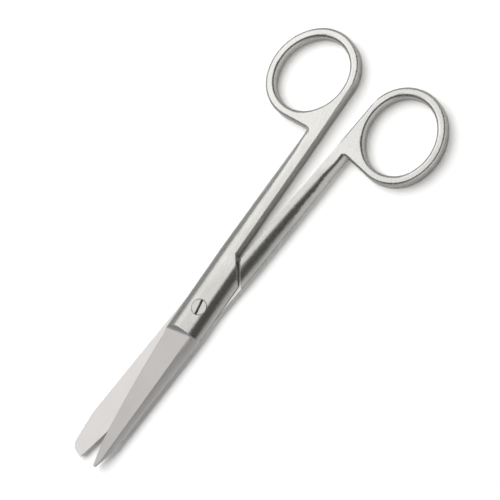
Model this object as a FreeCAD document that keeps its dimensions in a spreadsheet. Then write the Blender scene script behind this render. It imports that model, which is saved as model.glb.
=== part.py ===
import FreeCAD, Part
import Sketcher
import math
import os

# Straight operating scissors with one sharp and one blunt tip.
# Two forged halves cross in a half-lap joint and turn on one slotted screw.
# Each half is drawn closed, in its own frame: the origin is the pivot, +X runs
# to the finger ring, its shank lies on the +Y side, the spine of its blade on
# the -Y side, and its lap face is the plane Z = 0 with the crowned face above.
# In the whole part the origin is the pivot axis on the plane that the part
# lies on. All sizes are in millimetres and degrees.

doc = FreeCAD.newDocument("scissors")
sheet = doc.addObject("Spreadsheet::Sheet", "Sizes")

SIZES = [
    # Joint
    ("half_thickness", 2.0),
    ("boss_half_width", 5.8),
    ("crown_flat", 1.5),
    ("edge_round", 0.8),
    ("boss_front", 8.1),
    ("lap_clearance", 0.05),
    ("stop_distance", 11.75),
    ("stop_angle", 50.5),
    ("stop_clearance", 0.3),
    # Blades
    ("blade_end", 58.0),
    ("ground_rear_spine", 2.55),
    ("ground_rear_edge", 0.12),
    ("ground_tip_spine", 2.3),
    ("ground_tip_edge", -1.1),
    ("ground_side", 7.0),
    ("shoulder_slope", 40.0),
    ("shoulder_foot_round", 1.5),
    ("edge_start_x", 12.5),
    ("edge_start_y", 5.1),
    ("edge_bow", 0.45),
    ("outline_overrun", 0.3),
    # Sharp blade
    ("sharp_taper", 0.062),
    ("sharp_bend_x", 48.5),
    ("sharp_bend_y", 1.4),
    ("sharp_tip_x", 55.4),
    ("sharp_tip_y", -1.0),
    ("sharp_tip_radius", 0.35),
    ("sharp_back_x", 46.4),
    # Blunt blade
    ("blunt_taper", 0.024),
    ("blunt_bend_x", 48.5),
    ("blunt_bend_y", 2.15),
    ("blunt_toe_x", 55.75),
    ("blunt_toe_y", 0.7),
    ("blunt_toe_radius", 0.6),
    ("blunt_tip_x", 55.3),
    ("blunt_tip_y", -0.75),
    ("blunt_tip_radius", 2.7),
    ("blunt_back_x", 41.7),
    # Shanks
    ("shank_gap", 0.25),
    ("shank_half_thickness", 1.9),
    ("shank_mid_back", 37.15),
    ("shank_mid_width", 5.4),
    ("shank_mid_flat", 1.8),
    ("shank_late_back", 23.15),
    ("shank_late_width", 5.05),
    ("shank_late_flat", 2.4),
    ("neck_back", 17.65),
    ("neck_width", 4.85),
    ("neck_flat", 2.9),
    # Finger rings
    ("ring_centre_x", 75.15),
    ("ring_hole_length", 23.9),
    ("ring_hole_width", 20.9),
    ("ring_end_inset", 0.75),
    ("ring_band", 3.05),
    ("ring_inner_band", 2.5),
    ("ring_tilt", -14.0),
    ("ring_outer_bevel", 0.5),
    ("ring_inner_round", 1.1),
    ("throat_back", 15.85),
    ("throat_foot", 3.4),
    ("throat_radius", 1.5),
    # Pivot screw
    ("screw_radius", 1.5),
    ("screw_head_radius", 2.3),
    ("screw_head_land", 0.12),
    ("screw_clearance", 0.04),
    ("slot_width", 0.7),
    ("slot_depth", 0.8),
    ("slot_angle", 13.0),
    # Pose
    ("rest_opening", 6.0),
]


def fill_sheet():
    for row, (name, value) in enumerate(SIZES, start=1):
        sheet.set("A%d" % row, name)
        sheet.set("B%d" % row, str(value))
        sheet.setAlias("B%d" % row, name)
    doc.recompute()


fill_sheet()


def size(name):
    return float(sheet.get(name))


def cell(name):
    return "Sizes." + name


def vector(x, y, z=0.0):
    return FreeCAD.Vector(x, y, z)


# Sizes that follow from the driving ones
def stop_line_x(distance, y):
    """Where a stop line, square to stop_angle at this distance, meets a height y."""
    angle = math.radians(size("stop_angle"))
    return (distance - y * math.sin(angle)) / math.cos(angle)


def stop_line_formula(distance, y):
    angle = cell("stop_angle") + " * 1deg"
    return "(%s - (%s) * sin(%s)) / cos(%s)" % (distance_formula(distance), y, angle, angle)


def distance_formula(names):
    return "(" + " + ".join(cell(name) for name in names.split("+")) + ")"


def ring_end_radius():
    """Radius of the hole's two ends, a little under half its width."""
    return size("ring_hole_width") / 2 - size("ring_end_inset")


def ring_side_radius():
    """Radius of the hole's long sides, which join its end arcs without a corner."""
    length, width, end = size("ring_hole_length") / 2, size("ring_hole_width") / 2, ring_end_radius()
    return (length ** 2 + width ** 2 - 2 * length * end) / (2 * size("ring_end_inset"))


END_RADIUS = "(Sizes.ring_hole_width / 2 - Sizes.ring_end_inset)"
SIDE_RADIUS = ("(((Sizes.ring_hole_length / 2) ^ 2 + (Sizes.ring_hole_width / 2) ^ 2"
               " - Sizes.ring_hole_length * %s) / (2 * Sizes.ring_end_inset))" % END_RADIUS)
# How far the centres of the hole's end and side arcs lie from the hole's centre
END_OUT = "(Sizes.ring_hole_length / 2 - %s)" % END_RADIUS
SIDE_OUT = "(%s - Sizes.ring_hole_width / 2)" % SIDE_RADIUS
TILT = "(Sizes.ring_tilt * 1deg)"


def ring_outs():
    return size("ring_hole_length") / 2 - ring_end_radius(), ring_side_radius() - size("ring_hole_width") / 2


def ring_centre_y():
    """The band is thinnest where the hole comes nearest to the inner wall."""
    drop = ring_side_radius() - ring_outs()[1] * math.cos(math.radians(size("ring_tilt")))
    return size("shank_gap") + size("ring_inner_band") + drop


CENTRE_Y = ("(Sizes.shank_gap + Sizes.ring_inner_band + %s - %s * cos(%s))"
            % (SIDE_RADIUS, SIDE_OUT, TILT))


def notch_corner_x():
    return stop_line_x(size("stop_distance"), -size("shank_gap"))


# Sketches
def origin_plane(body, role):
    for feature in body.Origin.OriginFeatures:
        if feature.Role == role:
            return feature
    raise ValueError("no plane " + role)


def new_sketch(body, name, role, offset=0.0):
    sketch = body.newObject("Sketcher::SketchObject", name)
    sketch.AttachmentSupport = [(origin_plane(body, role), "")]
    sketch.MapMode = "FlatFace"
    sketch.AttachmentOffset = FreeCAD.Placement(vector(0, 0, offset), FreeCAD.Rotation())
    sketch.Visibility = False
    return sketch


def dimension(sketch, kind, arguments, value, name=None, formula=None):
    index = sketch.addConstraint(Sketcher.Constraint(kind, *arguments, value))
    if formula:
        sketch.renameConstraint(index, name)
        sketch.setExpression("Constraints." + name, formula)


def nose(width, flat, thickness, small):
    """Radius of the wide arc that joins the flat to the small arc at the edge."""
    reach = width - small - flat
    return (reach ** 2 + thickness ** 2 - small ** 2) / (2 * (thickness - small))


def add_nose(sketch, side, width, flat, thickness):
    """One crowned edge: a wide arc, a small arc round the edge, and a wide arc."""
    small = size("edge_round")
    wide = nose(width, flat, thickness, small)
    reach = width - small - flat
    lean = math.atan2(wide - thickness, reach)
    edge_centre = vector(side * (width - small), 0)
    arcs = []
    for up in (1, -1):
        centre = vector(side * flat, up * (thickness - wide))
        touch = math.atan2(up * math.sin(lean), side * math.cos(lean))
        crest = up * math.pi / 2
        ends = (touch, crest) if side * up > 0 else (crest, touch)
        circle = Part.Circle(centre, vector(0, 0, 1), wide)
        arcs.append(sketch.addGeometry(Part.ArcOfCircle(circle, *ends), False))
    low = math.atan2(-math.sin(lean), side * math.cos(lean))
    high = math.atan2(math.sin(lean), side * math.cos(lean))
    ends = (low, high) if side > 0 else (high, low + 2 * math.pi)
    circle = Part.Circle(edge_centre, vector(0, 0, 1), small)
    edge = sketch.addGeometry(Part.ArcOfCircle(circle, *ends), False)
    top, bottom = arcs
    # Each arc's start is point 1 and its end is point 2, anticlockwise
    top_touch, top_crest = (1, 2) if side > 0 else (2, 1)
    bottom_touch, bottom_crest = (2, 1) if side > 0 else (1, 2)
    edge_high, edge_low = (2, 1) if side > 0 else (1, 2)
    sketch.addConstraint(Sketcher.Constraint("Tangent", edge, edge_high, top, top_touch))
    sketch.addConstraint(Sketcher.Constraint("Tangent", edge, edge_low, bottom, bottom_touch))
    sketch.addConstraint(Sketcher.Constraint("PointOnObject", edge, 3, -1))
    dimension(sketch, "Radius", (edge,), small, "edge_%d" % (side + 1), cell("edge_round"))
    return edge, (top, top_crest), (bottom, bottom_crest)


def crowned_section(body, name, station, right, left, thickness, wall=False):
    """Cross-section at a distance along X, seen against the direction of X.

    right and left are (width, flat, width formula, flat formula); a wall is a
    plain upright side at the left width.
    """
    sketch = new_sketch(body, name, "YZ_Plane", station)
    right_width, right_flat, right_formula, right_flat_formula = right
    left_width, left_flat, left_formula, left_flat_formula = left
    half = size(thickness)
    edge, top_crest, bottom_crest = add_nose(sketch, 1, right_width, right_flat, half)
    width_value = right_width - size("edge_round")
    formula = "%s - %s" % (right_formula, cell("edge_round"))
    dimension(sketch, "DistanceX", (-1, 1, edge, 3), width_value, "right_edge", formula)
    top = sketch.addGeometry(Part.LineSegment(vector(right_flat, half), vector(-left_flat, half)))
    bottom = sketch.addGeometry(Part.LineSegment(vector(-left_flat, -half), vector(right_flat, -half)))
    join = (("Tangent", top_crest[0], top_crest[1], top, 1),
            ("Tangent", bottom_crest[0], bottom_crest[1], bottom, 2))
    for arguments in join:
        sketch.addConstraint(Sketcher.Constraint(*arguments))
    dimension(sketch, "DistanceY", (-1, 1, top, 1), half, "crown", cell(thickness))
    dimension(sketch, "DistanceX", (-1, 1, top, 1), right_flat, "right_flat", right_flat_formula)
    sketch.addConstraint(Sketcher.Constraint("Symmetric", top, 1, bottom, 2, -1))
    sketch.addConstraint(Sketcher.Constraint("Horizontal", top))
    if wall:
        side = sketch.addGeometry(Part.LineSegment(vector(-left_flat, half), vector(-left_flat, -half)))
        sketch.addConstraint(Sketcher.Constraint("Coincident", top, 2, side, 1))
        sketch.addConstraint(Sketcher.Constraint("Coincident", side, 2, bottom, 1))
        sketch.addConstraint(Sketcher.Constraint("Vertical", side))
        sketch.addConstraint(Sketcher.Constraint("Horizontal", bottom))
        dimension(sketch, "DistanceX", (-1, 1, side, 1), -left_flat, "wall", left_flat_formula)
    else:
        edge, top_crest, bottom_crest = add_nose(sketch, -1, left_width, left_flat, half)
        width_value = left_width - size("edge_round")
        formula = "%s - %s" % (left_formula, cell("edge_round"))
        dimension(sketch, "DistanceX", (edge, 3, -1, 1), width_value, "left_edge", formula)
        for arguments in (("Tangent", top_crest[0], top_crest[1], top, 2),
                          ("Tangent", bottom_crest[0], bottom_crest[1], bottom, 1)):
            sketch.addConstraint(Sketcher.Constraint(*arguments))
        sketch.addConstraint(Sketcher.Constraint("Symmetric", top, 2, bottom, 1, -1))
        dimension(sketch, "DistanceX", (top, 2, -1, 1), left_flat, "left_flat", left_flat_formula)
    return sketch


def end_at(sketch, index, point):
    """The number of the end of a line or arc that lies at a point."""
    gaps = [(sketch.getPoint(index, end) - point).Length for end in (1, 2)]
    return 1 if gaps[0] < gaps[1] else 2


def profile(sketch, corners, pieces, smooth=()):
    """A closed outline whose pieces run from corner to corner.

    A corner is (x, y, x formula, y formula); a corner without formulas is left
    to the smooth joins, which are named by their corner's number.
    """
    first = sketch.GeometryCount
    for piece in pieces:
        sketch.addGeometry(piece, False)
    count = len(corners)
    for number, corner in enumerate(corners):
        point = vector(corner[0], corner[1])
        before, after = first + (number - 1) % count, first + number
        kind = "Tangent" if number in smooth else "Coincident"
        join = (before, end_at(sketch, before, point), after, end_at(sketch, after, point))
        sketch.addConstraint(Sketcher.Constraint(kind, *join))
        if len(corner) == 4:
            place(sketch, after, join[3], corner, "corner_%d" % number)
    return first


def place(sketch, index, end, corner, name):
    """Fixes one point of a sketch at (x, y, x formula, y formula)."""
    x, y, x_formula, y_formula = corner
    dimension(sketch, "DistanceX", (-1, 1, index, end), x, name + "_x", x_formula)
    dimension(sketch, "DistanceY", (-1, 1, index, end), y, name + "_y", y_formula)


def outline(sketch, corners):
    """A closed outline of straight lines through corners."""
    points = [vector(corner[0], corner[1]) for corner in corners]
    lines = [Part.LineSegment(point, points[(number + 1) % len(points)])
             for number, point in enumerate(points)]
    return profile(sketch, corners, lines)


def hole_oval(body):
    """The finger hole: four tangent arcs about its centre, seen along its own tilted axes."""
    sketch = new_sketch(body, "ring_hole_outline", "XY_Plane")
    tilt = FreeCAD.Rotation(vector(0, 0, 1), size("ring_tilt"))
    centre = vector(size("ring_centre_x"), ring_centre_y())
    sketch.AttachmentOffset = FreeCAD.Placement(centre, tilt)
    sketch.setExpression("AttachmentOffset.Base.x", cell("ring_centre_x"))
    sketch.setExpression("AttachmentOffset.Base.y", CENTRE_Y)
    end, side = ring_end_radius(), ring_side_radius()
    end_out, side_out = ring_outs()
    corner = math.atan2(side_out, end_out)
    turns = [-corner, corner, math.pi - corner, math.pi + corner, 2 * math.pi - corner]
    centres = [vector(end_out, 0), vector(0, -side_out), vector(-end_out, 0), vector(0, side_out)]
    radii = [end, side, end, side]
    for number in range(4):
        circle = Part.Circle(centres[number], vector(0, 0, 1), radii[number])
        sketch.addGeometry(Part.ArcOfCircle(circle, turns[number], turns[number + 1]), False)
    for number in range(4):
        sketch.addConstraint(Sketcher.Constraint("Tangent", number, 2, (number + 1) % 4, 1))
    dimension(sketch, "Radius", (0,), end, "end_radius", END_RADIUS)
    sketch.addConstraint(Sketcher.Constraint("Equal", 0, 2))
    dimension(sketch, "DistanceX", (-1, 1, 0, 3), end_out, "right_centre", END_OUT)
    dimension(sketch, "DistanceX", (2, 3, -1, 1), end_out, "left_centre", END_OUT)
    sketch.addConstraint(Sketcher.Constraint("PointOnObject", 0, 3, -1))
    sketch.addConstraint(Sketcher.Constraint("PointOnObject", 2, 3, -1))
    dimension(sketch, "DistanceY", (1, 3, -1, 1), side_out, "top_centre", SIDE_OUT)
    dimension(sketch, "DistanceY", (-1, 1, 3, 3), side_out, "bottom_centre", SIDE_OUT)
    return sketch


def common_tangent(first, first_radius, second, second_radius):
    """Where a line touches two circles that lie on its left, or on its right if the radius is negative."""
    along = second - first
    turn = math.atan2(along.y, along.x) + math.acos((second_radius - first_radius) / along.Length)
    left = vector(math.cos(turn), math.sin(turn))
    return first - left * first_radius, second - left * second_radius


def arc_between(centre, start, end):
    """The shorter arc about a centre from start to end."""
    crest = centre + ((start + end) * 0.5 - centre).normalize() * (start - centre).Length
    return Part.Arc(start, crest, end)


def feature(body, kind, name, sketch, **settings):
    made = body.newObject("PartDesign::" + kind, name)
    made.Profile = (sketch, [""])
    for key, value in settings.items():
        setattr(made, key, value)
    body.Tip = made
    doc.recompute()
    if made.State and ("Invalid" in made.State or "Error" in made.State):
        raise RuntimeError("%s %s failed: %s" % (body.Label, name, made.State))
    return made


def volume_changed(body, name, before, grows):
    after = body.Shape.Volume
    if (after > before) != grows or abs(after - before) < 1e-3:
        raise RuntimeError("%s %s changed the volume from %.2f to %.2f" % (body.Label, name, before, after))
    print("%s %s: %.1f mm3" % (body.Label, name, after))
    return after


# One half of the scissors
def boss_sides():
    width, flat = size("boss_half_width"), size("crown_flat")
    return (width, flat, cell("boss_half_width"), cell("crown_flat"))


def blade_tip_side(taper):
    """The spine runs in towards the tip; the crown keeps its section along it."""
    narrowing = size(taper) * (size("blade_end") - size("boss_front"))
    shift = "%s * (%s - %s)" % (cell(taper), cell("blade_end"), cell("boss_front"))
    width, flat, width_formula, flat_formula = boss_sides()
    return (width - narrowing, flat - narrowing,
            width_formula + " - " + shift, flat_formula + " - " + shift)


def add_boss(body):
    sides = boss_sides()
    sketch = crowned_section(body, "boss_section", -size("boss_front"), sides, sides, "half_thickness")
    boss = feature(body, "Pad", "boss", sketch, Length=notch_corner_x() + size("boss_front"))
    boss.setExpression("Length", "%s + %s" % (stop_line_formula("stop_distance", "-Sizes.shank_gap"),
                                              cell("boss_front")))


def add_blade(body, taper):
    sides = boss_sides()
    root = crowned_section(body, "blade_root", -size("boss_front"), sides, sides, "half_thickness")
    tip = crowned_section(body, "blade_tip", -size("blade_end"), sides, blade_tip_side(taper),
                          "half_thickness")
    feature(body, "AdditiveLoft", "blade", root, Sections=[(tip, [""])], Ruled=True)


def back_from_ring(name):
    """A station on the shank, given by its distance back from the ring's centre."""
    return size("ring_centre_x") - size(name)


def neck_section(body, name):
    wall = (0, -size("shank_gap"), "0", cell("shank_gap"))
    side = (size("neck_width"), size("neck_flat"), cell("neck_width"), cell("neck_flat"))
    return crowned_section(body, name, back_from_ring("neck_back"), side, wall,
                           "shank_half_thickness", wall=True)


def add_shank(body):
    wall = (0, -size("shank_gap"), "0", cell("shank_gap"))
    sections = [crowned_section(body, "shank_root", notch_corner_x(), boss_sides(), wall,
                                "half_thickness", wall=True)]
    for stage in ("shank_mid", "shank_late"):
        width, flat = stage + "_width", stage + "_flat"
        side = (size(width), size(flat), cell(width), cell(flat))
        sections.append(crowned_section(body, stage, back_from_ring(stage + "_back"), side, wall,
                                        "shank_half_thickness", wall=True))
    sections.append(neck_section(body, "shank_end"))
    feature(body, "AdditiveLoft", "shank", sections[0],
            Sections=[(section, [""]) for section in sections[1:]], Ruled=True)


def add_neck(body):
    """The shank's last stretch keeps its section and runs into the ring's band."""
    neck = feature(body, "Pad", "neck", neck_section(body, "neck_section"), Length=size("neck_back"))
    neck.setExpression("Length", cell("neck_back"))


def add_ring(body):
    """The ring's body with the web of its throat; the hole and the inner wall come later."""
    turn = math.radians(size("ring_tilt"))
    ring = vector(size("ring_centre_x"), ring_centre_y())
    end_out, side_out = ring_outs()
    far = vector(math.cos(turn), math.sin(turn)) * end_out
    across = vector(-math.sin(turn), math.cos(turn)) * side_out
    right, left, near, beyond = ring + far, ring - far, ring + across, ring - across
    end_radius, side_radius = ring_end_radius() + size("ring_band"), ring_side_radius() + size("ring_band")
    joint = math.atan2(side_out, end_out)
    joins = [ring_point(centre, end_radius, angle + turn) for centre, angle in
             ((right, -joint), (right, joint), (left, math.pi - joint))]
    throat = vector(back_from_ring("throat_back"), size("throat_foot") + size("throat_radius"))
    ring_touch, throat_touch = common_tangent(left, end_radius, throat, -size("throat_radius"))
    foot = vector(throat.x, size("throat_foot"))
    web_x = (back_from_ring("throat_back") + back_from_ring("neck_back")) / 2
    web_formula = "%s - (%s + %s) / 2" % (cell("ring_centre_x"), cell("throat_back"), cell("neck_back"))
    low = size("shank_gap") + size("ring_inner_band") - size("ring_band")
    low_formula = "%s + %s - %s" % (cell("shank_gap"), cell("ring_inner_band"), cell("ring_band"))
    corners = [(point.x, point.y) for point in joins + [ring_touch, throat_touch, foot]]
    corners += [(web_x, foot.y, web_formula, cell("throat_foot")),
                (web_x, low, web_formula, low_formula), (near.x, low)]
    points = [vector(corner[0], corner[1]) for corner in corners]
    pieces = [Part.LineSegment(point, points[(number + 1) % len(points)])
              for number, point in enumerate(points)]
    for number, centre in ((0, right), (1, beyond), (2, left), (4, throat), (8, near)):
        pieces[number] = arc_between(centre, points[number], points[(number + 1) % len(points)])
    sketch = new_sketch(body, "ring_outline", "XY_Plane")
    first = profile(sketch, corners, pieces, smooth=(0, 1, 2, 3, 4, 5, 8))
    for number, radius, formula in ((0, end_radius, END_RADIUS), (1, side_radius, SIDE_RADIUS)):
        dimension(sketch, "Radius", (first + number,), radius, "radius_%d" % number,
                  "%s + %s" % (formula, cell("ring_band")))
    sketch.addConstraint(Sketcher.Constraint("Equal", first, first + 2))
    sketch.addConstraint(Sketcher.Constraint("Equal", first + 1, first + 8))
    dimension(sketch, "Radius", (first + 4,), size("throat_radius"), "throat_radius", cell("throat_radius"))
    for number, centre, sign in ((0, right, "+"), (2, left, "-")):
        formulas = ["%s %s %s * %s(%s)" % (base, sign, END_OUT, function, TILT)
                    for base, function in ((cell("ring_centre_x"), "cos"), (CENTRE_Y, "sin"))]
        place(sketch, first + number, 3, (centre.x, centre.y, *formulas), "end_centre_%d" % number)
    place(sketch, first + 4, 3, (throat.x, throat.y, "%s - %s" % (cell("ring_centre_x"), cell("throat_back")),
                                 "%s + %s" % (cell("throat_foot"), cell("throat_radius"))), "throat_centre")
    dimension(sketch, "DistanceX", (-1, 1, first + 8, 3), near.x, "near_centre",
              "%s - %s * sin(%s)" % (cell("ring_centre_x"), SIDE_OUT, TILT))
    pad = feature(body, "Pad", "ring", sketch, Length=2 * size("shank_half_thickness"), Midplane=True)
    pad.setExpression("Length", "2 * " + cell("shank_half_thickness"))


def cut_ring_wall(body):
    """The two rings face each other with flat walls, in line with the shanks' walls."""
    gap, band = size("shank_gap"), size("ring_band")
    gap_formula, band_formula = cell("shank_gap"), cell("ring_band")
    rear, rear_formula = back_from_ring("neck_back"), "%s - %s" % (cell("ring_centre_x"), cell("neck_back"))
    far = size("ring_centre_x") + size("ring_hole_length")
    far_formula = "%s + %s" % (cell("ring_centre_x"), cell("ring_hole_length"))
    sketch = new_sketch(body, "ring_wall_outline", "XY_Plane")
    outline(sketch, [(rear, gap, rear_formula, gap_formula), (rear, -band, rear_formula, "-" + band_formula),
                     (far, -band, far_formula, "-" + band_formula), (far, gap, far_formula, gap_formula)])
    feature(body, "Pocket", "ring_wall", sketch, Type="ThroughAll", Midplane=True)


def ring_point(centre, radius, angle):
    return centre + vector(math.cos(angle), math.sin(angle)) * radius


def cut_hole(body):
    feature(body, "Pocket", "ring_hole", hole_oval(body), Type="ThroughAll", Midplane=True)


def cut_lap(body):
    """Opens the half-lap: below the lap face, nothing stands ahead of the shank's root."""
    side = size("boss_half_width") + size("half_thickness")
    side_formula = "(%s + %s)" % (cell("boss_half_width"), cell("half_thickness"))
    names = "stop_distance+stop_clearance"
    distance = size("stop_distance") + size("stop_clearance")
    end = -size("blade_end") - side
    end_formula = "-%s - %s" % (cell("blade_end"), side_formula)
    corners = []
    for y, formula in ((-side, "-" + side_formula), (side, side_formula)):
        corners.append((stop_line_x(distance, y), y, stop_line_formula(names, formula), formula))
    corners.append((end, side, end_formula, side_formula))
    corners.append((end, -side, end_formula, "-" + side_formula))
    sketch = new_sketch(body, "lap_outline", "XY_Plane", size("lap_clearance") / 2)
    sketch.setExpression("AttachmentOffset.Base.z", cell("lap_clearance") + " / 2")
    outline(sketch, corners)
    lap = feature(body, "Pocket", "lap", sketch, Length=2 * size("half_thickness"))
    lap.setExpression("Length", "2 * " + cell("half_thickness"))


def cut_notch(body):
    """Clears the other half's shank behind the boss; its wall stops the closing."""
    side = size("boss_half_width") + size("half_thickness")
    side_formula = "(%s + %s)" % (cell("boss_half_width"), cell("half_thickness"))
    gap, gap_formula = size("shank_gap"), cell("shank_gap")
    # The stop wall of this half is the mirror image of the other's shoulder
    low = stop_line_x(size("stop_distance"), side)
    low_formula = stop_line_formula("stop_distance", side_formula)
    corner_formula = stop_line_formula("stop_distance", "-" + gap_formula)
    rear = notch_corner_x() + side
    rear_formula = corner_formula + " + " + side_formula
    corners = [(low, -side, low_formula, "-" + side_formula),
               (rear, -side, rear_formula, "-" + side_formula),
               (rear, gap, rear_formula, gap_formula),
               (notch_corner_x(), gap, corner_formula, gap_formula)]
    sketch = new_sketch(body, "notch_outline", "XY_Plane")
    outline(sketch, corners)
    feature(body, "Pocket", "notch", sketch, Type="ThroughAll", Midplane=True)


def cut_ground_face(body):
    """The outer face of the blade falls to the cutting edge behind a sloped shoulder."""
    side = size("ground_side")
    slope = math.tan(math.radians(size("shoulder_slope")))
    slope_formula = "tan(%s * 1deg)" % cell("shoulder_slope")
    above = size("half_thickness") + side
    above_formula = "%s + %s" % (cell("half_thickness"), cell("ground_side"))
    end = -size("blade_end") - side
    end_formula = "-%s - %s" % (cell("blade_end"), cell("ground_side"))
    sections = []
    for name, where, sign in (("spine", -side, ""), ("edge", side, "-")):
        rear, tip = size("ground_rear_" + name), size("ground_tip_" + name)
        rear_formula, tip_formula = cell("ground_rear_" + name), cell("ground_tip_" + name)
        foot = -size("boss_front") + (rear - size("half_thickness")) / slope
        foot_formula = "-%s + (%s - %s) / %s" % (cell("boss_front"), rear_formula,
                                                 cell("half_thickness"), slope_formula)
        top = -size("boss_front") + side / slope
        top_formula = "-%s + %s / %s" % (cell("boss_front"), cell("ground_side"), slope_formula)
        sketch = new_sketch(body, "ground_" + name, "XZ_Plane", -where)
        sketch.setExpression("AttachmentOffset.Base.z", sign + cell("ground_side"))
        corner = vector(foot, rear)
        touches = foot_touches(vector(end, tip), corner, vector(top, above), size("shoulder_foot_round"))
        corners = [(touches[0].x, touches[0].y), (touches[1].x, touches[1].y),
                   (top, above, top_formula, above_formula),
                   (end, above, end_formula, above_formula),
                   (end, tip, end_formula, tip_formula)]
        points = [vector(*corner_point[:2]) for corner_point in corners]
        pieces = [Part.LineSegment(point, points[(number + 1) % len(points)])
                  for number, point in enumerate(points)]
        pieces[0] = arc_between(touches[2], touches[0], touches[1])
        first = profile(sketch, corners, pieces, smooth=(0, 1))
        dimension(sketch, "Radius", (first,), size("shoulder_foot_round"), "foot_round",
                  cell("shoulder_foot_round"))
        # The foot itself is where the slope and the ground face would meet
        mark = sketch.addGeometry(Part.Point(corner), True)
        place(sketch, mark, 1, (foot, rear, foot_formula, rear_formula), "foot")
        for line in (first + 1, first + 4):
            sketch.addConstraint(Sketcher.Constraint("PointOnObject", mark, 1, line))
        sections.append(sketch)
    feature(body, "SubtractiveLoft", "ground_face", sections[0],
            Sections=[(sections[1], [""])], Ruled=True)


def foot_touches(before, corner, after, radius):
    """Where an arc that rounds a corner touches its two lines, and the arc's centre."""
    back, ahead = (before - corner).normalize(), (after - corner).normalize()
    half = back.getAngle(ahead) / 2
    reach = radius / math.tan(half)
    centre = corner + (back + ahead).normalize() * (radius / math.sin(half))
    return corner + back * reach, corner + ahead * reach, centre


# The arcs round each blade's end, from the cutting edge to the spine
TIP_ROUNDS = {"sharp": ("sharp_tip",), "blunt": ("blunt_toe", "blunt_tip")}


def cut_blade_plan(body, style):
    """Cuts the blade to its plan: the cutting edge on the +Y side, and the tip."""
    side = size("boss_half_width") + size("half_thickness")
    side_formula = "(%s + %s)" % (cell("boss_half_width"), cell("half_thickness"))
    end = -size("blade_end") - side
    end_formula = "-%s - %s" % (cell("blade_end"), side_formula)
    overrun, overrun_formula = size("outline_overrun"), cell("outline_overrun")
    root = vector(-size("boss_front"), size("boss_half_width") + overrun)
    start = vector(-size("edge_start_x"), size("edge_start_y"))
    bend = vector(-size(style + "_bend_x"), size(style + "_bend_y"))
    back_x = size(style + "_back_x")
    narrowing = size(style + "_taper") * (back_x - size("boss_front"))
    back = vector(-back_x, narrowing - size("boss_half_width") - overrun)
    back_formula = "%s * (%s - %s) - %s - %s" % (cell(style + "_taper"), cell(style + "_back_x"),
                                                 cell("boss_front"), cell("boss_half_width"), overrun_formula)
    chord = start - bend
    bulge = vector(-chord.y, chord.x).normalize() * size("edge_bow")
    crest = (start + bend) * 0.5 + bulge
    rounds = [(bend, 0.0)]
    for name in TIP_ROUNDS[style]:
        radius = size(name + "_radius")
        rounds.append((vector(radius - size(name + "_x"), size(name + "_y")), radius))
    rounds.append((back, 0.0))
    touches = []
    for before, after in zip(rounds, rounds[1:]):
        touches += common_tangent(*before, *after)
    touches = touches[1:-1]
    x_formula = {name: "-" + cell(style + name) for name in ("_bend_x", "_back_x")}
    corners = [
        (root.x, root.y, "-" + cell("boss_front"), cell("boss_half_width") + " + " + overrun_formula),
        (start.x, start.y, "-" + cell("edge_start_x"), cell("edge_start_y")),
        (bend.x, bend.y, x_formula["_bend_x"], cell(style + "_bend_y")),
    ]
    corners += [(touch.x, touch.y) for touch in touches]
    corners += [
        (back.x, back.y, x_formula["_back_x"], back_formula),
        (back.x, -side, x_formula["_back_x"], "-" + side_formula),
        (end, -side, end_formula, "-" + side_formula),
        (end, side, end_formula, side_formula),
        (root.x, side, "-" + cell("boss_front"), side_formula),
    ]
    points = [vector(corner[0], corner[1]) for corner in corners]
    pieces = [Part.LineSegment(point, points[(number + 1) % len(points)])
              for number, point in enumerate(points)]
    pieces[1] = Part.Arc(start, crest, bend)
    for number, (centre, radius) in enumerate(rounds[1:-1]):
        pieces[3 + 2 * number] = arc_between(centre, *touches[2 * number:2 * number + 2])
    bow_radius = (chord.Length ** 2 / 4 + size("edge_bow") ** 2) / (2 * size("edge_bow"))
    sketch = new_sketch(body, "blade_plan_outline", "XY_Plane")
    first = profile(sketch, corners, pieces, smooth=range(3, 3 + len(touches)))
    dimension(sketch, "Radius", (first + 1,), bow_radius)
    for number, name in enumerate(TIP_ROUNDS[style]):
        centre, radius = rounds[number + 1]
        arc = first + 3 + 2 * number
        dimension(sketch, "Radius", (arc,), radius, "round_%d" % number, cell(name + "_radius"))
        centre_formula = "%s - %s" % (cell(name + "_radius"), cell(name + "_x"))
        place(sketch, arc, 3, (centre.x, centre.y, centre_formula, cell(name + "_y")), "centre_%d" % number)
    feature(body, "Pocket", "blade_plan", sketch, Type="ThroughAll", Midplane=True)


def cut_bore(body, clearance, countersunk):
    """The pivot hole, and the countersink that the screw's head lies in."""
    radius, head = size("screw_radius"), size("screw_head_radius")
    top, land = size("half_thickness"), size("screw_head_land")
    radius_formula, top_formula = cell("screw_radius"), cell("half_thickness")
    if clearance:
        radius += size(clearance)
        head += size(clearance)
        radius_formula += " + " + cell(clearance)
    low, low_formula = -2 * top, "-2 * " + top_formula
    high, high_formula = 2 * top, "2 * " + top_formula
    if countersunk:
        rim = head + land
        rim_formula = "%s + %s + %s" % (cell("screw_head_radius"), cell(clearance), cell("screw_head_land"))
        seat = top - (rim - radius)
        seat_formula = "%s - (%s) + (%s)" % (top_formula, rim_formula, radius_formula)
        wall = [(radius, seat, radius_formula, seat_formula),
                (rim, top, rim_formula, top_formula),
                (rim, high, rim_formula, high_formula)]
    else:
        wall = [(radius, high, radius_formula, high_formula)]
    sketch = new_sketch(body, "bore_section", "XZ_Plane")
    outline(sketch, [(0, low, "0", low_formula), (radius, low, radius_formula, low_formula)] + wall
            + [(0, high, "0", high_formula)])
    feature(body, "Groove", "bore", sketch, ReferenceAxis=(origin_plane(body, "Z_Axis"), [""]), Angle=360)


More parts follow.
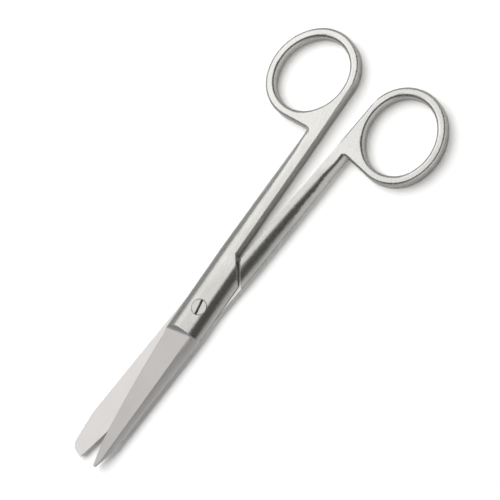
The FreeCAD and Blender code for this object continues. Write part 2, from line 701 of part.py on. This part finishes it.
def on_hole(edge):
    """Whether an edge is an arc of the finger hole's oval."""
    curve = edge.Curve
    if not isinstance(curve, Part.Circle):
        return False
    away = curve.Center - vector(size("ring_centre_x"), ring_centre_y())
    return math.hypot(away.x, away.y) < size("ring_hole_width") / 2 \
        and min(abs(curve.Radius - radius) for radius in (ring_end_radius(), ring_side_radius())) < 1e-4


def off_web_end(edge):
    """Whether an edge of the ring's outline lies off the plane that ends the web."""
    web_x = (back_from_ring("throat_back") + back_from_ring("neck_back")) / 2
    return edge.BoundBox.XMax > web_x + 1e-4


def is_face_rim(edge):
    """Whether an edge lies in one of the ring's two flat faces."""
    box = edge.BoundBox
    half = size("shank_half_thickness")
    return box.ZLength < 1e-4 and abs(abs(box.ZMin) - half) < 1e-4


def dress(body, kind, name, test, **settings):
    """A fillet or chamfer on every edge that passes a test."""
    edges = ["Edge%d" % number for number, edge in enumerate(body.Shape.Edges, start=1) if test(edge)]
    if not edges:
        raise RuntimeError("%s %s found no edges" % (body.Label, name))
    base = body.Tip
    made = body.newObject("PartDesign::" + kind, name)
    made.Base = (base, edges)
    for key, (value, formula) in settings.items():
        setattr(made, key, value)
        made.setExpression(key, formula)
    body.Tip = made
    doc.recompute()
    if "Invalid" in made.State or "Error" in made.State:
        raise RuntimeError("%s %s failed: %s" % (body.Label, name, made.State))


def bevel_ring(body):
    dress(body, "Chamfer", "ring_rims", lambda edge: is_face_rim(edge) and off_web_end(edge),
          Size=(size("ring_outer_bevel"), cell("ring_outer_bevel")))


def round_hole(body):
    dress(body, "Fillet", "hole_rims", lambda edge: is_face_rim(edge) and on_hole(edge),
          Radius=(size("ring_inner_round"), cell("ring_inner_round")))


def make_half(name, style, clearance, countersunk):
    body = doc.addObject("PartDesign::Body", name)
    body.Label = name
    steps = [("ring", lambda: add_ring(body), True),
             ("ring_rims", lambda: bevel_ring(body), False),
             ("ring_wall", lambda: cut_ring_wall(body), False),
             ("neck", lambda: add_neck(body), True),
             ("shank", lambda: add_shank(body), True),
             ("boss", lambda: add_boss(body), True),
             ("blade", lambda: add_blade(body, style + "_taper"), True),
             ("ring_hole", lambda: cut_hole(body), False),
             ("lap", lambda: cut_lap(body), False),
             ("notch", lambda: cut_notch(body), False),
             ("ground_face", lambda: cut_ground_face(body), False),
             ("blade_plan", lambda: cut_blade_plan(body, style), False),
             ("bore", lambda: cut_bore(body, clearance, countersunk), False),
             ("hole_rims", lambda: round_hole(body), False)]
    before = 0.0
    for step, make, grows in steps:
        make()
        before = volume_changed(body, step, before, grows)
    return body


# The slotted screw
def make_screw():
    body = doc.addObject("PartDesign::Body", "pivot_screw")
    body.Label = "pivot_screw"
    radius, head = size("screw_radius"), size("screw_head_radius")
    top, land = size("half_thickness"), size("screw_head_land")
    seat = top - land - (head - radius)
    radius_formula, head_formula = cell("screw_radius"), cell("screw_head_radius")
    top_formula = cell("half_thickness")
    rim_formula = "%s - %s" % (top_formula, cell("screw_head_land"))
    seat_formula = "%s - (%s - %s)" % (rim_formula, head_formula, radius_formula)
    sketch = new_sketch(body, "screw_section", "XZ_Plane")
    outline(sketch, [(0, -top, "0", "-" + top_formula),
                     (radius, -top, radius_formula, "-" + top_formula),
                     (radius, seat, radius_formula, seat_formula),
                     (head, top - land, head_formula, rim_formula),
                     (head, top, head_formula, top_formula),
                     (0, top, "0", top_formula)])
    feature(body, "Revolution", "turned", sketch, ReferenceAxis=(origin_plane(body, "Z_Axis"), [""]),
            Angle=360)
    before = volume_changed(body, "turned", 0.0, True)
    half, reach = size("slot_width") / 2, size("screw_head_radius") + size("slot_width")
    half_formula = cell("slot_width") + " / 2"
    reach_formula = "(%s + %s)" % (cell("screw_head_radius"), cell("slot_width"))
    sketch = new_sketch(body, "slot_outline", "XY_Plane", top)
    sketch.setExpression("AttachmentOffset.Base.z", top_formula)
    outline(sketch, [(-reach, -half, "-" + reach_formula, "-" + half_formula),
                     (reach, -half, reach_formula, "-" + half_formula),
                     (reach, half, reach_formula, half_formula),
                     (-reach, half, "-" + reach_formula, half_formula)])
    slot = feature(body, "Pocket", "slot", sketch, Length=size("slot_depth"))
    slot.setExpression("Length", cell("slot_depth"))
    doc.recompute()
    volume_changed(body, "slot", before, False)
    return body


# The whole part
sharp = make_half("sharp_half", "sharp", "screw_clearance", True)
blunt = make_half("blunt_half", "blunt", None, False)
screw = make_screw()
upright = vector(0, 0, 1)
middle = vector(0, 0, size("half_thickness"))
half_turn = FreeCAD.Rotation(vector(1, 0, 0), 180)
opening = FreeCAD.Rotation(upright, size("rest_opening") / 2)
sharp.Placement = FreeCAD.Placement(middle, opening)
blunt.Placement = FreeCAD.Placement(middle, opening.inverted() * half_turn)
screw.Placement = FreeCAD.Placement(middle, FreeCAD.Rotation(upright, size("slot_angle")))
doc.recompute()

for item in doc.Objects:
    if "Invalid" in item.State or "Error" in item.State:
        raise RuntimeError(item.Label + " failed: " + str(item.State))
bodies = (sharp, blunt, screw)
for body in bodies:
    if body.Shape.isNull() or not body.Shape.isValid() or len(body.Shape.Solids) != 1:
        raise RuntimeError(body.Label + " is not one valid solid")
os.makedirs("parts", exist_ok=True)
for body in bodies:
    body.Shape.exportStep("parts/%s.step" % body.Label)
    print(body.Label, "volume", round(body.Shape.Volume, 1), body.Shape.BoundBox)
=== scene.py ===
# %% [markdown]
# # Operating scissors in satin stainless steel
# The scissors lie flat and a little open. Two forged halves cross in a joint,
# and a slotted screw holds them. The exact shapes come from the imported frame;
# this lesson gives them smooth shading, their finishes, the floor, the light
# and the camera.

# %% Load the frame
import bmesh
import bpy
import math
from mathutils import Matrix, Vector


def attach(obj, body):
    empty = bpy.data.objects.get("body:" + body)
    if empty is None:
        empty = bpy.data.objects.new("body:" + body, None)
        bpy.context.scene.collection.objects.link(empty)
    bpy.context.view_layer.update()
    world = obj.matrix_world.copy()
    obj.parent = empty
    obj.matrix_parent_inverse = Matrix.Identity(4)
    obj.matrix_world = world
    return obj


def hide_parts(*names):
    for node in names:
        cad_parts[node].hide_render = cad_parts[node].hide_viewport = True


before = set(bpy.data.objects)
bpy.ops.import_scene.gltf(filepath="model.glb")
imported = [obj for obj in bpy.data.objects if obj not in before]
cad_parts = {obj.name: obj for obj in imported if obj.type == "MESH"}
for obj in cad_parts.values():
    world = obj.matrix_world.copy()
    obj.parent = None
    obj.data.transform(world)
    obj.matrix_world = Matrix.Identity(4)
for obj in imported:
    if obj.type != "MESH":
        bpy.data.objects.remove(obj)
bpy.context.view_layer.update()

# %% [markdown]
# ## Units and colours
# Blender works in metres and in linear light. A maker thinks in millimetres
# and picks colours as sRGB hex values, so a constant and a small function turn
# one into the other.

# %% Units and colours
MM = 0.001


def linear(hex_colour):
    """An sRGB hex value such as "C8C8C6" as linear red, green, blue and alpha."""
    parts = [int(hex_colour[i:i + 2], 16) / 255 for i in (0, 2, 4)]
    parts = [p / 12.92 if p <= 0.04045 else ((p + 0.055) / 1.055) ** 2.4 for p in parts]
    return (*parts, 1.0)


WHITE = linear("FFFFFF")
print("mid grey in linear light", [round(v, 3) for v in linear("808080")])

# %% [markdown]
# ## Camera
# The scissors are seen from 65.5 degrees above the floor, from the side of the
# blunt half's ring, and the picture is turned so that they run from the lower
# left to the upper right. A camera could be aimed with a Track To constraint,
# but that keeps its top upright. Here its three axes are worked out instead:
# away from the target, to the right of the picture and up the picture. A long
# lens keeps the two rings nearly the same size.

# %% Camera axes
ELEVATION = math.radians(65.5)
ROLL = math.radians(52.39)

away = Vector((0, -math.cos(ELEVATION), math.sin(ELEVATION)))
level = Vector((1, 0, 0))
rise = away.cross(level)
right = level * math.cos(ROLL) - rise * math.sin(ROLL)
up = level * math.sin(ROLL) + rise * math.cos(ROLL)
print("camera looks from", [round(v, 3) for v in away])

# %% Camera
DISTANCE = 625 * MM
TARGET = Vector((22.17, -0.91, 2.0)) * MM
PIXEL = 0.291 * MM
PICTURE_WIDTH = 500
SENSOR_WIDTH = 36.0
NEAREST, FURTHEST = 10 * MM, 20.0

camera_data = bpy.data.cameras.new("camera")
camera_data.sensor_width = SENSOR_WIDTH
camera_data.lens = SENSOR_WIDTH * DISTANCE / (PIXEL * PICTURE_WIDTH)
camera_data.clip_start = NEAREST
camera_data.clip_end = FURTHEST
camera = bpy.data.objects.new("camera", camera_data)
turned = Matrix((right, up, away)).transposed().to_4x4()
camera.matrix_world = Matrix.Translation(TARGET + away * DISTANCE) @ turned
bpy.context.scene.collection.objects.link(camera)
bpy.context.scene.camera = camera
bpy.context.scene.view_settings.view_transform = "Standard"
print("lens", round(camera_data.lens, 1), "mm")

# %% [markdown]
# ## Materials
# Every material here is a small net of nodes, so one helper adds a node, sets
# its values and joins its inputs. A plain value goes on the socket itself.

# %% A node with its settings and links


def add_node(tree, kind, inputs=None, **settings):
    """Adds a node; an input is a value, or a socket that is linked to it."""
    node = tree.nodes.new("ShaderNode" + kind)
    for key, value in settings.items():
        setattr(node, key, value)
    for key, value in (inputs or {}).items():
        if isinstance(value, bpy.types.NodeSocket):
            tree.links.new(value, node.inputs[key])
        else:
            node.inputs[key].default_value = value
    return node


def new_material(name):
    """A material with an empty net of nodes, and that net."""
    material = bpy.data.materials.new(name)
    material.use_nodes = True
    material.node_tree.nodes.clear()
    return material, material.node_tree


# %% [markdown]
# ## Brushed scratches
# The halves are forged from hardened stainless steel and brushed to a satin
# finish, so that they don't dazzle under a lamp. Brushing leaves fine
# scratches along the piece. They could come from a picture, but that shows a
# seam where it is wrapped; a noise in the piece's own coordinates, stretched
# along X, has none. Real scratches lie about 0.02 mm apart, which is too fine
# for a picture whose pixels are 0.3 mm wide, so they are drawn about a pixel
# apart.

# %% Brushed scratches


def scratch_pattern(tree, place, grain, stretch):
    """Scratches along X; grain is their spacing in mm, stretch their length to width."""
    per_metre = 1 / (grain * MM)
    scaled = add_node(tree, "Mapping", {"Vector": place,
                                        "Scale": (per_metre / stretch, per_metre, per_metre)})
    return add_node(tree, "TexNoise", {"Vector": scaled.outputs["Vector"], "Scale": 1.0,
                                       "Detail": 3.0, "Roughness": 0.6}).outputs["Fac"]


print("a pixel is", round(PIXEL / MM, 2), "mm wide")

# %% [markdown]
# ## Uneven steel
# Steel that is handled and wiped doesn't stay even. It is a little cloudy, in
# patches about 9 mm wide, and its grey is set lighter at the rings than at the
# joint. Both are added up and mix two greys.

# %% Cloudy steel, brighter at the rings
CLOUD = 9 * MM
DARKER_UP_TO, LIGHTER_FROM = 25 * MM, 62 * MM
AT_JOINT, AT_RINGS = -0.3, 0.4


def steel_tint(tree, place, colour, darker):
    """The colour of the steel, from the darker grey at the joint to the lighter one."""
    cloudy = add_node(tree, "TexNoise", {"Vector": place, "Scale": 1 / CLOUD,
                                         "Detail": 2.0, "Roughness": 0.5})
    axes = add_node(tree, "SeparateXYZ", {"Vector": place})
    towards_rings = add_node(tree, "MapRange", {"Value": axes.outputs["X"],
                                          "From Min": DARKER_UP_TO, "From Max": LIGHTER_FROM,
                                          "To Min": AT_JOINT, "To Max": AT_RINGS})
    lightness = add_node(tree, "Math", {0: cloudy.outputs["Fac"], 1: towards_rings.outputs["Result"]},
                      operation="ADD", use_clamp=True)
    tint = add_node(tree, "Mix", {"Factor": lightness.outputs["Value"],
                                  6: linear(darker), 7: linear(colour)}, data_type="RGBA")
    return tint.outputs[2]


print("clouds are", round(CLOUD / MM), "mm wide")

# %% [markdown]
# ## Satin stainless steel
# The metal mirrors the room softly. The scratches tilt its surface a little
# and make it now rougher, now smoother, which draws the fine grain. No edge of
# a used tool is perfectly sharp: a Bevel node rounds the shading of each edge
# over 0.18 mm, so that it catches a thin line of light. A real bevel would
# cost many faces and shows no better at this size.

# %% Satin steel
EDGE_WEAR = 0.18 * MM
EDGE_SAMPLES = 4
NOISE_LOW, NOISE_HIGH = 0.3, 0.7
SMOOTHER, ROUGHER = 0.02, 0.03
TILT = 0.2


def satin_steel(name, colour, darker, roughness, grain, stretch, depth):
    """Brushed steel; depth, in mm, is how deep its scratches look."""
    material, tree = new_material(name)
    place = add_node(tree, "TexCoord").outputs["Object"]
    scratches = scratch_pattern(tree, place, grain, stretch)
    gloss = add_node(tree, "MapRange", {"Value": scratches,
                                        "From Min": NOISE_LOW, "From Max": NOISE_HIGH,
                                        "To Min": roughness - SMOOTHER,
                                        "To Max": roughness + ROUGHER})
    worn_edge = add_node(tree, "Bevel", {"Radius": EDGE_WEAR}, samples=EDGE_SAMPLES)
    tilted = add_node(tree, "Bump", {"Height": scratches, "Strength": TILT, "Distance": depth * MM,
                                     "Normal": worn_edge.outputs["Normal"]})
    tint = steel_tint(tree, place, colour, darker)
    steel = add_node(tree, "BsdfPrincipled", {"Base Color": tint, "Metallic": 1.0,
                                              "Roughness": gloss.outputs["Result"],
                                              "Normal": tilted.outputs["Normal"]})
    add_node(tree, "OutputMaterial", {"Surface": steel.outputs["BSDF"]})
    print(name, "scratches every", grain, "mm")
    return material


# %% [markdown]
# ## The finishes
# One steel is finished in five ways. What differs is its grey, how rough the
# last wheel left it, how long the scratches are and how deep they go. The
# lighter grey on the back of a blade is painted light.

# %% The finishes
# Forged and brushed: soft dark and light bands, with a visible grain.
forged_satin = satin_steel("forged_satin_steel", "DFDEDA", "C3C2BE", 0.27, 0.32, 3, 0.05)
# Ground flat where the halves slide on each other: paler, with long fine scratches.
ground_satin = satin_steel("ground_satin_steel", "DEDBD9", "D6D3D1", 0.30, 0.3, 8, 0.008)
# Ground on a fine wheel, outside a blade: an even grey with hardly a band.
blade_satin = satin_steel("blade_satin_steel", "D1CECC", "C8C5C3", 0.43, 0.3, 8, 0.008)
# Left coarse on the back of a blade: nearly matt, so it stays light. Its
# lighter grey is painted light too: it brightens a back that mirrors the dark
# patch above.
lightened_flank_steel = satin_steel("blade_flank_painted_light_steel", "E9E7E5", "DFDDDB", 0.62, 0.3, 8, 0.008)
# Turned on a lathe: the smoothest of the five, and its grain runs no one way.
screw_satin = satin_steel("turned_screw_steel", "CDCBC8", "C4C2BF", 0.25, 0.25, 1, 0.02)

# %% [markdown]
# ## Worn rims of the rings
# A finger ring is tumbled until its rims are round. The frame's rings have a
# straight bevel there, of two sharp edges. More bevels could round it, but
# they would eat into the narrow flat. Instead a line of edges is inset into
# each flat, and both edges of the bevel are left smooth: the shading then
# turns from the flat to the wall in one curve, and the outline stays exact.

# %% Which edges belong to a rim
RING_START = 57.2 * MM
FLAT_SLOPE, WALL_SLOPE = 0.99, 0.05
BEVEL_SLOPES = (0.6, 0.8)


def is_rim(edge):
    """True at both edges of the bevel that runs around the outside of a ring."""
    if len(edge.link_faces) != 2 or min(v.co.x for v in edge.verts) < RING_START:
        return False
    steep, shallow = sorted(abs(face.normal.z) for face in edge.link_faces)
    beside_flat = shallow > FLAT_SLOPE and BEVEL_SLOPES[0] < steep < BEVEL_SLOPES[1]
    beside_wall = steep < WALL_SLOPE and BEVEL_SLOPES[0] < shallow < BEVEL_SLOPES[1]
    return beside_flat or beside_wall


print("the rings start", round(RING_START / MM, 1), "mm from the screw")

# %% A line inside each flat
RIM_WEAR = 0.36 * MM
EXACTLY_FLAT = 0.99999
SMALLEST_FLAT = 0.02 * MM * MM


def wear_rims(shape):
    """Adds a line inside the edge of each ring's flat, so that its rim shades round."""
    flats = [face for face in shape.faces
             if abs(face.normal.z) > EXACTLY_FLAT and face.calc_area() > SMALLEST_FLAT
             and min(v.co.x for v in face.verts) > RING_START]
    bmesh.ops.inset_region(shape, faces=flats, thickness=RIM_WEAR, depth=0, use_boundary=True,
                           use_even_offset=True)
    print(len(flats), "flat triangles in the ring get a worn rim")


# %% [markdown]
# ## Smooth copies
# The frame's meshes are loose flat triangles, so each would show its facets. A
# copy is merged and shaded smooth, apart from edges that turn by more than 24
# degrees, which are real ones. Weighted normals let the large faces decide the
# shading, so that the flats stay flat beside their rounded edges. The copy
# then stands in for the node, on the same body.

# %% A merged mesh with crisp edges
WELD = 0.0005 * MM
CRISP = math.radians(24)


def smooth_mesh(name, source, pick, soften=None):
    """A merged copy of a node's mesh, smooth except at its real edges."""
    mesh = bpy.data.meshes.new(name)
    shape = bmesh.new()
    shape.from_mesh(source.data)
    bmesh.ops.remove_doubles(shape, verts=shape.verts, dist=WELD)
    if soften:
        soften(shape)
    for face in shape.faces:
        face.smooth = True
        face.material_index = pick(face)
    for edge in shape.edges:
        gentle = len(edge.link_faces) == 2 and edge.calc_face_angle(0) < CRISP
        edge.smooth = is_rim(edge) or gentle
    shape.to_mesh(mesh)
    shape.free()
    return mesh


print("edges stay crisp from", round(math.degrees(CRISP)), "degrees")

# %% A copy that stands in for its node
FULL_WEIGHT = 100


def smooth_copy(node_name, body, materials, pick, soften=None):
    """Shows a smooth copy of a CAD node, in the given materials."""
    mesh = smooth_mesh(node_name + "_satin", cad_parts[node_name], pick, soften)
    for material in materials:
        mesh.materials.append(material)
    piece = bpy.data.objects.new(node_name + "_satin", mesh)
    bpy.context.scene.collection.objects.link(piece)
    even = piece.modifiers.new("even_normals", "WEIGHTED_NORMAL")
    even.keep_sharp = True
    even.weight = FULL_WEIGHT
    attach(piece, body)
    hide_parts(node_name)
    print(piece.name, len(mesh.polygons), "triangles")


# %% [markdown]
# ## The halves and the screw
# A half is one forging, and the wheel touched it in three places: the lap face
# at mid height, where it slides on the other half, and the outside and the
# back of its blade. Each face picks its finish from where it lies and how it
# slopes.

# %% The finish of each face
HALF_FINISHES = (forged_satin, ground_satin, blade_satin, lightened_flank_steel)
FORGED, LAP, BLADE, FLANK = range(len(HALF_FINISHES))
MID_HEIGHT = 2.0 * MM
LAP_REACH = 0.1 * MM
BLADE_ROOT = -8.0 * MM
BLADE_SLOPE = 0.97


def pick_half_finish(face):
    """The place in HALF_FINISHES of the finish that a face of a half gets."""
    centre = face.calc_center_median()
    if abs(centre.z - MID_HEIGHT) < LAP_REACH and abs(face.normal.z) > FLAT_SLOPE:
        return LAP
    if centre.x > BLADE_ROOT:
        return FORGED
    return BLADE if abs(face.normal.z) > BLADE_SLOPE else FLANK


print("finishes of a half", [finish.name for finish in HALF_FINISHES])

# %% The halves and the screw
smooth_copy("sharp_half", "upper", HALF_FINISHES, pick_half_finish, wear_rims)
smooth_copy("blunt_half", "lower", HALF_FINISHES, pick_half_finish, wear_rims)
smooth_copy("pivot_screw", "lower", (screw_satin,), lambda face: 0)

# %% [markdown]
# ## Floor
# The scissors lie on a sheet of white paper that looks pure white and still
# keeps their soft shadow. More light on the sheet would also wash out the
# steel, so the paper itself is brighter for some rays: much brighter for those
# of the camera, and a little for those that the steel mirrors.

# %% White paper
CAMERA_LIFT = 1.5
STEEL_LIFT = 0.3


def white_paper():
    """Paper with more white for the camera and the steel; the shadow dims that too."""
    material, tree = new_material("white_sheet")
    rays = add_node(tree, "LightPath")
    paper = add_node(tree, "BsdfDiffuse", {"Color": linear("F4F4F3")})
    shader = paper.outputs["BSDF"]
    for seen_by, lift in (("Is Glossy Ray", STEEL_LIFT), ("Is Camera Ray", CAMERA_LIFT)):
        extra = add_node(tree, "BsdfDiffuse", {"Color": (lift, lift, lift, 1)})
        bright = add_node(tree, "AddShader", {0: paper.outputs["BSDF"], 1: extra.outputs["BSDF"]})
        mixed = add_node(tree, "MixShader", {"Fac": rays.outputs[seen_by], 1: shader,
                                             2: bright.outputs["Shader"]})
        shader = mixed.outputs["Shader"]
    add_node(tree, "OutputMaterial", {"Surface": shader})
    print(material.name, "is lifted by", CAMERA_LIFT, "for the camera")
    return material


# %% Floor
FLOOR_HALF = 1.5
FLOOR_DROP = 0.02 * MM

sheet = bpy.data.meshes.new("floor")
shape = bmesh.new()
bmesh.ops.create_grid(shape, x_segments=1, y_segments=1, size=FLOOR_HALF)
shape.to_mesh(sheet)
shape.free()
sheet.materials.append(white_paper())
floor = bpy.data.objects.new("floor", sheet)
floor.location.z = -FLOOR_DROP
bpy.context.scene.collection.objects.link(floor)
print("floor", 2 * FLOOR_HALF, "m wide")

# %% [markdown]
# ## The room
# Metal has hardly a colour of its own: it shows what stands around it. The
# room is a pale tent, lighter on the side of the blunt half's ring and dimmer
# beyond the tips, with one dark patch high above. The near flanks mirror that
# patch and go dark, and lower down they mirror the bright wall and the floor.
# A picture of a real studio could light the scene too, but here each part of
# the room is placed where the steel needs it.

# %% Walls
NEAR_WALL, FAR_WALL = 0.68, 0.33
WALL_TURN = (-0.8, 0.6)
TIP_SIDE = 0.45
TIP_TURN = (-0.9, -0.3)


def wall_strength(tree, place):
    """The strength of the walls: near towards -Y, far towards +Y, and less beyond the tips."""
    axes = add_node(tree, "SeparateXYZ", {"Vector": place})
    wall = add_node(tree, "MapRange", {"Value": axes.outputs["Y"],
                                       "From Min": WALL_TURN[0], "From Max": WALL_TURN[1],
                                       "To Min": NEAR_WALL, "To Max": FAR_WALL},
                    interpolation_type="SMOOTHSTEP")
    end = add_node(tree, "MapRange", {"Value": axes.outputs["X"],
                                      "From Min": TIP_TURN[0], "From Max": TIP_TURN[1],
                                      "To Min": TIP_SIDE, "To Max": 1.0},
                   interpolation_type="SMOOTHSTEP")
    return add_node(tree, "Math", {0: wall.outputs["Result"], 1: end.outputs["Result"]},
                    operation="MULTIPLY").outputs["Value"]


print("walls from", FAR_WALL, "to", NEAR_WALL)

# %% Dark patch
DARK = 0.07
PATCH_LEAN = math.radians(8)
PATCH_EDGE = math.radians(30)
PATCH_CORE = math.radians(24.5)
PATCH_SQUEEZE = (0.35, 1, 1)


def darkened(tree, place, walls):
    """The walls' strength, with a soft-edged dark patch that is long from ring to tip."""
    squeezed = add_node(tree, "VectorMath", {0: place, 1: PATCH_SQUEEZE}, operation="MULTIPLY")
    towards = add_node(tree, "VectorMath", {0: squeezed.outputs["Vector"]}, operation="NORMALIZE")
    middle = (0, -math.sin(PATCH_LEAN), math.cos(PATCH_LEAN))
    nearness = add_node(tree, "VectorMath", {0: towards.outputs["Vector"], 1: middle},
                        operation="DOT_PRODUCT")
    return add_node(tree, "MapRange", {"Value": nearness.outputs["Value"],
                                       "From Min": math.cos(PATCH_EDGE),
                                       "From Max": math.cos(PATCH_CORE),
                                       "To Min": walls, "To Max": DARK},
                    interpolation_type="SMOOTHSTEP").outputs["Result"]


print("the dark patch reaches", round(math.degrees(PATCH_EDGE)), "degrees from its middle")

# %% [markdown]
# ## What each ray sees of the room
# The steel mirrors the room at full strength. The floor gets less than half of
# it, because a room that shines from all sides would fill the shadow. The
# camera sees plain white behind the floor.

# %% The room
FLOOR_SHARE = 0.4

world = bpy.data.worlds.new("studio")
world.use_nodes = True
tree = world.node_tree
tree.nodes.clear()
place = add_node(tree, "TexCoord").outputs["Generated"]
strength = darkened(tree, place, wall_strength(tree, place))
rays = add_node(tree, "LightPath")
share = add_node(tree, "MapRange", {"Value": rays.outputs["Is Diffuse Ray"],
                                    "To Min": 1.0, "To Max": FLOOR_SHARE})
shared = add_node(tree, "Math", {0: strength, 1: share.outputs["Result"]}, operation="MULTIPLY")
room = add_node(tree, "Background", {"Color": WHITE, "Strength": shared.outputs["Value"]})
white = add_node(tree, "Background", {"Color": WHITE, "Strength": 1.0})
seen = add_node(tree, "MixShader", {"Fac": rays.outputs["Is Camera Ray"],
                                    1: room.outputs["Background"],
                                    2: white.outputs["Background"]})
add_node(tree, "OutputWorld", {"Surface": seen.outputs["Shader"]})
bpy.context.scene.world = world
print(world.name, "gives the floor", FLOOR_SHARE, "of its light")

# %% [markdown]
# ## Soft boxes
# Two large lamps shine from the far side. One is only mirrored by the steel
# and makes its flat tops bright. The other only lights the floor and throws
# the shadow towards the viewer. One lamp could do both, but then neither the
# tops nor the shadow could be set without the other.

# %% Soft boxes
FAR_SIDE = math.radians(90)
LAMP_DISTANCE = 0.9


def soft_box(name, lean, width, height, radiance, mirrored):
    """A lamp that faces the scissors; lean is its angle from straight above.

    The steel mirrors it if mirrored is true, and otherwise it lights the floor.
    """
    lamp = bpy.data.lights.new(name, "AREA")
    lamp.shape = "RECTANGLE"
    lamp.size = width
    lamp.size_y = height
    lamp.energy = radiance * math.pi * width * height
    box = bpy.data.objects.new(name, lamp)
    towards = Vector((math.sin(lean) * math.cos(FAR_SIDE), math.sin(lean) * math.sin(FAR_SIDE),
                      math.cos(lean)))
    box.rotation_euler = towards.to_track_quat("Z", "Y").to_euler()
    box.location = towards * LAMP_DISTANCE
    box.visible_glossy = mirrored
    box.visible_diffuse = not mirrored
    bpy.context.scene.collection.objects.link(box)
    print(name, round(lamp.energy, 2), "W")


soft_box("far_box", math.radians(38), 0.8, 0.73, 1.04, True)
soft_box("floor_box", math.radians(31), 1.0, 1.0, 1.45, False)
